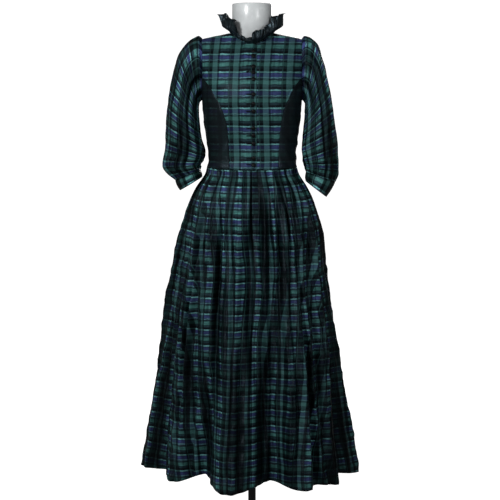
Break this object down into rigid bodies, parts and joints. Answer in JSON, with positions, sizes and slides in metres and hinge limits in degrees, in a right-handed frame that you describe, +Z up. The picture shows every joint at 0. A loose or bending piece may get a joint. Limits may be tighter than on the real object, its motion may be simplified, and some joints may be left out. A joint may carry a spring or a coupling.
{
  "type": "dirndl dress on a limbless dress form",
  "caption": "Long plaid dirndl dress with a gathered skirt, puffed sleeves, a ruffled neck and covered buttons, on a glossy limbless dress form with a pole stand.",
  "frame": {"origin": "centre of the base plate's underside, on the floor under the pole", "axes": "+Z up along the pole, -Y the front of the dress, +X to the right in the picture"},
  "size_m": [0.6254, 0.5409, 1.48],
  "materials": {
    "plaid_cloth": "silky plaid in dark green, teal and navy",
    "dark_cloth": "silky, nearly black, faint plaid",
    "button_cloth": "black satin",
    "form_paint": "glossy white",
    "stand_metal": "satin black"
  },
  "bodies": {
    "root": {"bodice_front_left": "plaid_cloth", "bodice_front_right": "plaid_cloth", "bodice_back": "plaid_cloth", "skirt_back_left": "plaid_cloth", "skirt_side_left": "plaid_cloth", "skirt_front_left": "plaid_cloth", "skirt_front_right": "plaid_cloth", "skirt_side_right": "plaid_cloth", "skirt_back_right": "plaid_cloth", "sleeve_right": "plaid_cloth", "cuff_right": "plaid_cloth", "sleeve_left": "plaid_cloth", "cuff_left": "plaid_cloth", "bodice_side_front_left": "dark_cloth", "bodice_side_back_left": "dark_cloth", "bodice_side_front_right": "dark_cloth", "bodice_side_back_right": "dark_cloth", "neck_ruffle": "dark_cloth", "button_1": "button_cloth", "button_2": "button_cloth", "button_3": "button_cloth", "button_4": "button_cloth", "button_5": "button_cloth", "button_6": "button_cloth", "button_7": "button_cloth", "button_8": "button_cloth", "button_9": "button_cloth", "button_10": "button_cloth", "button_11": "button_cloth", "button_12": "button_cloth", "button_13": "button_cloth", "dress_form": "form_paint", "stand_pole": "stand_metal", "stand_base": "stand_metal"}
  },
  "joints": []
}
